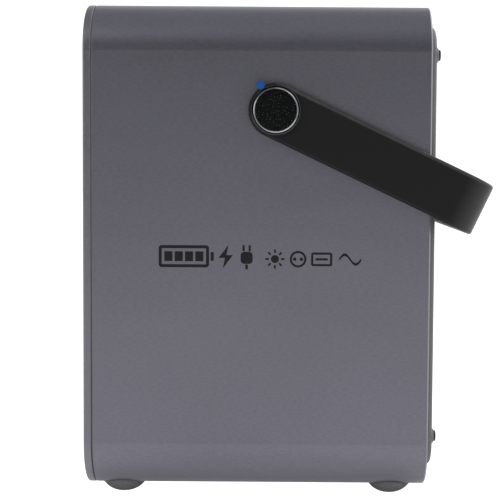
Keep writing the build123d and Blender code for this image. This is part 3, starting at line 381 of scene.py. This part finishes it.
def direct(x, y, width, line):
    """A bar over three dashes, which stands for direct current."""
    shapes = bar(x, y + line, width, line)
    for dash in (-1, 0, 1):
        shapes += bar(x + dash * width * 0.36, y - line, width * 0.24, line)
    return shapes


def switch_mark(x, y, radius, line):
    """The open ring with a bar that stands for on and standby."""
    return arch(x, y, radius, line, 125, 415) + bar(x, y + radius * 0.65, line, radius * 1.1)


def port_mark(x, y, width, height, line):
    """The outline of a USB port with its tongue."""
    inside = bar(x, y, width - 2 * line, height - 2 * line)
    return bar(x, y, width, height, line) + inside + bar(x, y, width - 4 * line, line)


def socket_mark(x, y, radius, line):
    """A round mains socket with two holes."""
    hole = line * 0.8
    return ring(x, y, radius, line) + disc(x - radius * 0.4, y, hole) + disc(x + radius * 0.4, y, hole)


facing_right = Matrix(((0, 0, 1), (1, 0, 0), (0, 1, 0)))
facing_front = Matrix(((1, 0, 0), (0, 0, -1), (0, 1, 0)))


def print_on(name, outlines, place, facing, body, finish):
    """Lays ink in these outlines on a face that looks right or front, and rides it on a body."""
    flat = bpy.data.curves.new(name, "CURVE")
    flat.dimensions = "2D"
    flat.fill_mode = "BOTH"
    flat.extrude = ink / 2 * mm
    for outline in outlines:
        spline = flat.splines.new("POLY")
        spline.points.add(len(outline) - 1)
        spline.use_cyclic_u = True
        for point, (across, up) in zip(spline.points, outline):
            point.co = (across * mm, up * mm, 0, 1)
    piece = bpy.data.objects.new(name, flat)
    bpy.context.scene.collection.objects.link(piece)
    piece.matrix_world = Matrix.Translation(place) @ facing.to_4x4()
    bpy.ops.object.select_all(action="DESELECT")
    bpy.context.view_layer.objects.active = piece
    piece.select_set(True)
    bpy.ops.object.convert(target="MESH")
    bpy.ops.object.transform_apply()
    piece = bpy.context.object
    piece.data.materials.clear()
    piece.data.materials.append(finish.material)
    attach(piece, body)


dark_ink = Finish("dark_ink", (0.003, 0.003, 0.004), 0.5, specular_ior_level=0.2)
dark_ink.grained(2600, (0.002, 0.002, 0.003), (0.006, 0.006, 0.007))
small_level = -0.9
line = 0.9
side_marks = battery(-31, 0, 20.5, 9, 1.25, 4, 4) + bolt(-14, 0, 9.6) + plug(-5.5, 0, 9.8)
side_marks += sun(6, small_level, 3.9) + socket_mark(15.4, small_level, 3.4, line)
side_marks += port_mark(25, small_level, 8.6, 5.6, line) + wave(36.6, small_level, 9, 1.15)
row_behind_bezel = 72.2 * mm
row_height = 101 * mm
side_place = (case_high.x + ink / 2 * mm, bezel_low.y + row_behind_bezel, row_height)
print_on("side_print", side_marks, side_place, facing_right, "case", dark_ink)

# ---- Bezel ---------------------------------------------------------------------------------------
# The front bezel is die-cast aluminium, blasted and anodised a shade lighter than the case. Four
# black screws hold it, one in each corner.
bezel_finish = Finish("bezel_aluminium", (0.165, 0.16, 0.183), 0.42, metallic=1.0)
bezel_finish.grained(1500, (0.148, 0.145, 0.165), (0.182, 0.178, 0.202))
bezel_finish.cover("front_bezel")
screw_finish = Finish("black_steel", (0.02, 0.02, 0.02), 0.35, metallic=0.5)
screw_finish.grained(3000, (0.012, 0.012, 0.012), (0.035, 0.035, 0.035))
screw_finish.cover("rear_screws", "bezel_screws")

# ---- Rear cover ----------------------------------------------------------------------------------
# The rear cover is moulded in grey plastic with spark texture. It stands proud of the case, with
# slots over the fan and lower down, and a boss round each corner screw.
rear_finish = Finish("rear_plastic", (0.075, 0.075, 0.08), 0.5)
rear_finish.grained(2200, (0.062, 0.062, 0.066), (0.088, 0.088, 0.094), 0.00006)
rear_finish.cover("rear_cover")

# ---- Feet ----------------------------------------------------------------------------------------
# Four rubber feet, moulded with a flared rim that follows the case. They pick up dust.
foot_finish = Finish("foot_rubber", (0.1, 0.1, 0.106), 0.75)
foot_finish.grained(1800, (0.082, 0.082, 0.088), (0.13, 0.13, 0.137), 0.00004)
foot_finish.cover("foot_front_left", "foot_front_right", "foot_rear_left", "foot_rear_right")

# ---- Handle --------------------------------------------------------------------------------------
# The handle is one strap of glass-filled nylon, bent round the rear, with a fine matte texture.
# A painted highlight runs along the upper edge of each arm, and the grip is a shade paler with painted
# sheen.
ring_low, ring_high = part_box("cap_rings")
hub_y = (ring_low.y + ring_high.y) / 2
hub_z = (ring_low.z + ring_high.z) / 2
handle_width = 22 * mm
rounding = 1.2 * mm
highlight_reach = 1.6 * mm
grip_start = 80 * mm
grip_end = 95 * mm
arm_drop = radians(25.3)
handle_finish = Finish("handle_nylon", (0.005, 0.005, 0.005), 0.48, specular_ior_level=0.2)
handle_grain = handle_finish.noise(2400)
handle_at = handle_finish.place()
upward = (handle_at.along("Y") - hub_y) * sin(arm_drop) + (handle_at.along("Z") - hub_z) * cos(arm_drop)
# Painted highlight: the upper edge of each arm is made lighter where its chamfer would catch the light.
painted_edge_highlight = upward.smooth(handle_width / 2 - highlight_reach, handle_width / 2 - rounding)
painted_edge_highlight = painted_edge_highlight * (0.5 + handle_finish.noise(160, detail=2) * 0.7)
outward = (handle_at.along("Y") - hub_y) * cos(arm_drop) - (handle_at.along("Z") - hub_z) * sin(arm_drop)
# Painted sheen: the curved grip is made paler and a little smoother to stand for the light it reflects.
painted_grip_sheen = outward.smooth(grip_start, grip_end)
nylon_share = handle_grain.smooth(0.25, 0.75)
nylon_colour = handle_finish.mix(nylon_share, (0.0015, 0.0015, 0.0015), (0.004, 0.004, 0.004))
nylon_colour = handle_finish.mix(painted_grip_sheen, nylon_colour, (0.022, 0.022, 0.022))
handle_finish.set("Base Color", handle_finish.mix(painted_edge_highlight, nylon_colour, (0.03, 0.029, 0.028)))
handle_finish.set("Roughness", 0.42 + handle_grain * 0.12 - painted_grip_sheen * 0.06)
handle_finish.bump(handle_grain, 0.00005, 0.4)
handle_finish.cover("handle")

# ---- Handle hubs ---------------------------------------------------------------------------------
# Each pivot has a gloss black cap with a chrome ring round a black disc. The right-hand disc still
# has its clear protective film, with a blue tab to pull it off by.
cap_finish = Finish("cap_gloss", (0.004, 0.004, 0.004), 0.14)
dust = cap_finish.specks(900, 0.10)
dust = dust * cap_finish.noise(400, detail=2).smooth(0.58, 0.68)
cap_finish.set("Base Color", cap_finish.mix(dust, (0.0005, 0.0008, 0.0008), (0.014, 0.013, 0.013)))
cap_finish.set("Roughness", 0.1 + dust * 0.5 + cap_finish.noise(300) * 0.05)
cap_finish.cover("pivot_cap_left", "pivot_cap_right", "cap_discs")

chrome_finish = Finish("ring_chrome", (0.42, 0.42, 0.44), 0.14, metallic=1.0)
scuffs = chrome_finish.noise(110, detail=2).smooth(0.35, 0.62)
chrome_finish.set("Base Color", chrome_finish.mix(scuffs, (0.13, 0.13, 0.14), (0.36, 0.36, 0.38)))
chrome_finish.set("Roughness", 0.08 + chrome_finish.noise(900) * 0.14)
chrome_finish.cover("cap_rings")

tab_reach = 11.7 * mm
tab_turn = radians(121.7)
tab_radius = 1.75 * mm
tab_fade = 0.1 * mm
film_finish = Finish("film_blue", (0.004, 0.047, 0.17), 0.2)
tab_place = film_finish.node(
    "ShaderNodeMapping",
    None,
    {
        "Vector": film_finish.node("ShaderNodeTexCoord", output="Object"),
        "Location": (0, -hub_y - tab_reach * cos(tab_turn), -hub_z - tab_reach * sin(tab_turn)),
        "Scale": (0, 1, 1),
    },
)
off_tab = film_finish.node("ShaderNodeVectorMath", {"operation": "LENGTH"}, {0: tab_place}, "Value")
in_tab = 1 - off_tab.smooth(tab_radius, tab_radius + tab_fade)
film_finish.set("Base Color", film_finish.mix(in_tab, (0.01, 0.012, 0.013), (0.004, 0.047, 0.17)))
film_finish.set("Alpha", 0.04 + in_tab * 0.9)
film_finish.set("Roughness", 0.16 + film_finish.noise(500) * 0.12)
film_finish.cover("cap_film")

# ---- Front panel ---------------------------------------------------------------------------------
# The panel is moulded black plastic with pale printed symbols. Its smoked window covers the display
# and a ribbed diffuser covers the lamp.
panel_finish = Finish("panel_plastic", (0.02, 0.02, 0.022), 0.5)
panel_finish.grained(2400, (0.016, 0.016, 0.018), (0.028, 0.028, 0.031), 0.00005)
panel_finish.cover("front_panel")
socket_finish = Finish("socket_plastic", (0.018, 0.018, 0.02), 0.32)
socket_finish.grained(1600, (0.014, 0.014, 0.016), (0.026, 0.026, 0.028))
socket_finish.cover("ac_socket")


def core(finish, sockets, width, height=None, rise=0.0):
    """1 along the middle of each of these sockets, where its flat tongue or its round pin is."""
    here = finish.place()
    found = 0
    for mount in frame["record"]["mounts"]:
        if mount["name"] in sockets:
            middle_x, _, middle_z = mount["pos_m"]
            across = here.along("X") - middle_x
            above = here.along("Z") - (middle_z + rise)
            if height:
                found = found + across.within(width) * above.within(height)
            else:
                found = found + (across * across + above * above).within(width * width / 2)
    return found


jack_finish = Finish("jack_plastic", (0.018, 0.018, 0.02), 0.32)
jack_finish.grained(1600, (0.014, 0.014, 0.016), (0.026, 0.026, 0.028))
jack_pins = core(jack_finish, ("dc_input", "dc_output_left", "dc_output_right"), 2.2 * mm)
jack_finish.over(jack_pins, (0.65, 0.47, 0.2), 1)
jack_finish.cover("dc_jacks")
window_finish = Finish("window_acrylic", (0.008, 0.008, 0.01), 0.06, alpha=0.4)
window_finish.set("Roughness", 0.04 + window_finish.noise(60) * 0.06)
window_finish.cover("display_window")
screen_finish = Finish("screen_glass", (0.01, 0.012, 0.016), 0.1)
screen_finish.grained(700, (0.008, 0.010, 0.013), (0.014, 0.016, 0.02), 0.00001, 0.04)
screen_finish.cover("display_module")

lens_finish = Finish("lamp_diffuser", (0.82, 0.82, 0.8), 0.35)
rib_inputs = {"Vector": lens_finish.place(), "Scale": 130}
ribs = lens_finish.node("ShaderNodeTexWave", {"bands_direction": "X"}, rib_inputs, "Fac")
lens_finish.set("Base Color", lens_finish.mix(ribs, (0.72, 0.72, 0.7), (0.88, 0.88, 0.86)))
lens_finish.bump(ribs, 0.0003, 0.6)
lens_finish.cover("lamp_lens")

pale_ink = Finish("pale_ink", (0.6, 0.6, 0.6), 0.5)
pale_ink.grained(2600, (0.52, 0.52, 0.52), (0.68, 0.68, 0.68))
panel_print_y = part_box("front_panel")[0].y - ink / 2 * mm


def middle(name):
    """The middle of a CAD node's box."""
    low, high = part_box(name)
    return (low + high) / 2


def in_millimetres(point):
    """A place on the panel, across and up, in millimetres."""
    return point.x / mm, point.z / mm


# Each mark stands this far, in millimetres, above its socket or the row of ports.
usb_mark_rise = 11
ac_mark_rise = 29
car_mark_rise = 19
input_mark_rise = 5
jack_flange = 6.2
between_outputs = 13
fine_line = 0.4
panel_marks = []
for pair_name, mark_width, mark_height in (("usb_a_ports", 6, 2.8), ("usb_c_ports", 5, 1.9)):
    pair_low, pair_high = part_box(pair_name)
    left, level = in_millimetres(pair_low)
    right = pair_high.x / mm
    for at in (left + mark_width * 0.8, right - mark_width * 0.8):
        panel_marks += port_mark(at, level + usb_mark_rise, mark_width, mark_height, fine_line)
ac_at = in_millimetres(middle("ac_socket"))
car_at = in_millimetres(middle("car_socket_shell"))
jack_low, jack_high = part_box("dc_jacks")
panel_marks += wave(ac_at[0], ac_at[1] + ac_mark_rise, 8, 0.7)
panel_marks += direct(car_at[0], car_at[1] + car_mark_rise, 6, 0.7)
panel_marks += direct(jack_low.x / mm + jack_flange + between_outputs, jack_low.z / mm + jack_flange, 5, 0.6)
panel_marks += plug(jack_high.x / mm - jack_flange, jack_high.z / mm + input_mark_rise, 6)
print_on("panel_print", panel_marks, (0, panel_print_y, 0), facing_front, "case", pale_ink)

# ---- Buttons -------------------------------------------------------------------------------------
# Four soft-touch buttons in the panel, each with its symbol printed on it.
button_finish = Finish("button_plastic", (0.06, 0.06, 0.065), 0.55)
button_finish.grained(2400, (0.05, 0.05, 0.054), (0.075, 0.075, 0.08), 0.00004)
button_marks = {
    "power_button": switch_mark(0, 0, 2.3, 0.5),
    "ac_button": wave(0, 0, 6, 0.6),
    "dc_button": direct(0, 0, 5, 0.6),
    "lamp_button": sun(0, 0, 2.6),
}
for button_name, marks in button_marks.items():
    button_finish.cover(button_name)
    face = middle(button_name)
    face.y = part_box(button_name)[0].y - ink / 2 * mm
    print_on(button_name + "_mark", marks, face, facing_front, button_name, pale_ink)

# ---- Display -------------------------------------------------------------------------------------
# The lit segments of the display: a battery gauge between an input and an output scale.
glow = Finish("display_glow", (0.5, 0.8, 0.9), 0.5, emission_strength=2.2)
glow.set("Emission Color", glow.mix(glow.noise(500), (0.4, 0.8, 1), (0.5, 0.9, 1)))
window_gap = 0.5 * mm
screen_at = middle("display_window")
screen_at.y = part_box("display_window")[1].y + window_gap
scale_start = 18
scale_pitch = 3
scale_foot = -6
sign_at = 25.5
sign_level = 7.5
gauge = battery(0, 0, 24, 12, 0.9, 5, 4) + bolt(0, 9.6, 5)
for side in (-1, 1):
    for step in range(6):
        tall = 2 + step * 1.2
        gauge += bar(side * (scale_start + step * scale_pitch), scale_foot + tall / 2, 1.8, tall)
gauge += plug(-sign_at, sign_level, 7) + sun(sign_at, sign_level, 2.8)
print_on("display_segments", gauge, screen_at, facing_front, "case", glow)

# ---- Metal in the sockets ------------------------------------------------------------------------
# The USB ports are drawn steel, darkened inside with painted shade, and have black tongues. The car
# socket is plated in black nickel, and the contacts that a plug meets are brass.
port_finish = Finish("port_steel", (0.5, 0.5, 0.52), 0.3, metallic=1.0)
port_finish.grained(900, (0.42, 0.42, 0.44), (0.56, 0.56, 0.58), 0.00001)
port_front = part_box("usb_a_ports")[0].y
# Painted shade: the steel deeper inside each port is darkened to stand for the shade in the cavity.
painted_port_shade = port_finish.place().along("Y").smooth(port_front + 0.3 * mm, port_front + 1.5 * mm)
port_finish.over(painted_port_shade, (0.04, 0.04, 0.042), 1)
tongues = core(port_finish, ("usb_a_left", "usb_a_right"), 11.2 * mm, 1.8 * mm, 0.9 * mm)
tongues = tongues + core(port_finish, ("usb_c_left", "usb_c_right"), 6.8 * mm, 0.8 * mm)
port_finish.over(tongues, (0.012, 0.012, 0.014), 0)
port_finish.cover("usb_a_ports", "usb_c_ports")
nickel_finish = Finish("black_nickel", (0.09, 0.09, 0.095), 0.3, metallic=1.0)
nickel_finish.grained(900, (0.075, 0.075, 0.08), (0.11, 0.11, 0.115), 0.00001)
nickel_finish.cover("car_socket_shell")
brass_finish = Finish("contact_brass", (0.65, 0.47, 0.2), 0.3, metallic=1.0)
brass_finish.grained(900, (0.55, 0.39, 0.16), (0.7, 0.52, 0.24), 0.00001)
brass_finish.cover("car_socket_contact", "earth_clips", "ac_contacts")

# ---- Works inside --------------------------------------------------------------------------------
# What the case holds: the battery in its holders and tray, three circuit boards, heatsinks, a
# transformer, capacitors, a fan and their leads.
steel_finish = Finish("plain_steel", (0.55, 0.55, 0.56), 0.32, metallic=1.0)
steel_finish.grained(800, (0.48, 0.48, 0.49), (0.62, 0.62, 0.63), 0.00001)
steel_finish.cover("foot_screws", "board_screws", "pivot_screws", "pivot_nuts", "fan_screws")
steel_finish.cover("socket_nuts", "pivot_posts", "nickel_strips")
white_finish = Finish("white_nylon", (0.75, 0.75, 0.72), 0.5)
white_finish.grained(1200, (0.7, 0.7, 0.67), (0.8, 0.8, 0.77)).cover("handle_bushes")
washer_finish = Finish("black_rubber", (0.015, 0.015, 0.015), 0.8)
washer_finish.grained(1500, (0.012, 0.012, 0.012), (0.025, 0.025, 0.025)).cover("friction_washers")
nylon_finish = Finish("black_nylon", (0.02, 0.02, 0.02), 0.45)
nylon_finish.grained(1800, (0.015, 0.015, 0.015), (0.03, 0.03, 0.03))
nylon_finish.cover("tact_switches", "cell_holder_front", "cell_holder_rear", "battery_tray")
nylon_finish.cover("fan_frame", "fan_rotor")
board_finish = Finish("green_board", (0.02, 0.14, 0.06), 0.35)
board_finish.grained(300, (0.015, 0.11, 0.045), (0.03, 0.17, 0.075), 0.00003)
board_finish.cover("control_board", "lamp_board", "bms_board", "inverter_board")
wrap_finish = Finish("cell_wrap", (0.03, 0.14, 0.4), 0.35)
wrap_finish.grained(200, (0.025, 0.12, 0.36), (0.035, 0.16, 0.44)).cover("battery_cells")
bare_finish = Finish("bare_aluminium", (0.7, 0.7, 0.72), 0.35, metallic=1.0)
bare_finish.grained(900, (0.62, 0.62, 0.64), (0.74, 0.74, 0.76)).cover("heatsinks")
core_finish = Finish("core_iron", (0.05, 0.05, 0.05), 0.7)
core_finish.grained(500, (0.035, 0.035, 0.035), (0.07, 0.07, 0.065)).cover("transformer")
can_finish = Finish("capacitor_can", (0.05, 0.05, 0.07), 0.3)
can_finish.grained(300, (0.04, 0.04, 0.06), (0.06, 0.06, 0.08)).cover("capacitors")
sheath_finish = Finish("lead_sheath", (0.35, 0.02, 0.02), 0.4)
sheath_finish.grained(600, (0.3, 0.015, 0.015), (0.4, 0.03, 0.03))
sheath_finish.cover("ac_leads", "fan_lead", "battery_leads", "panel_ribbon")
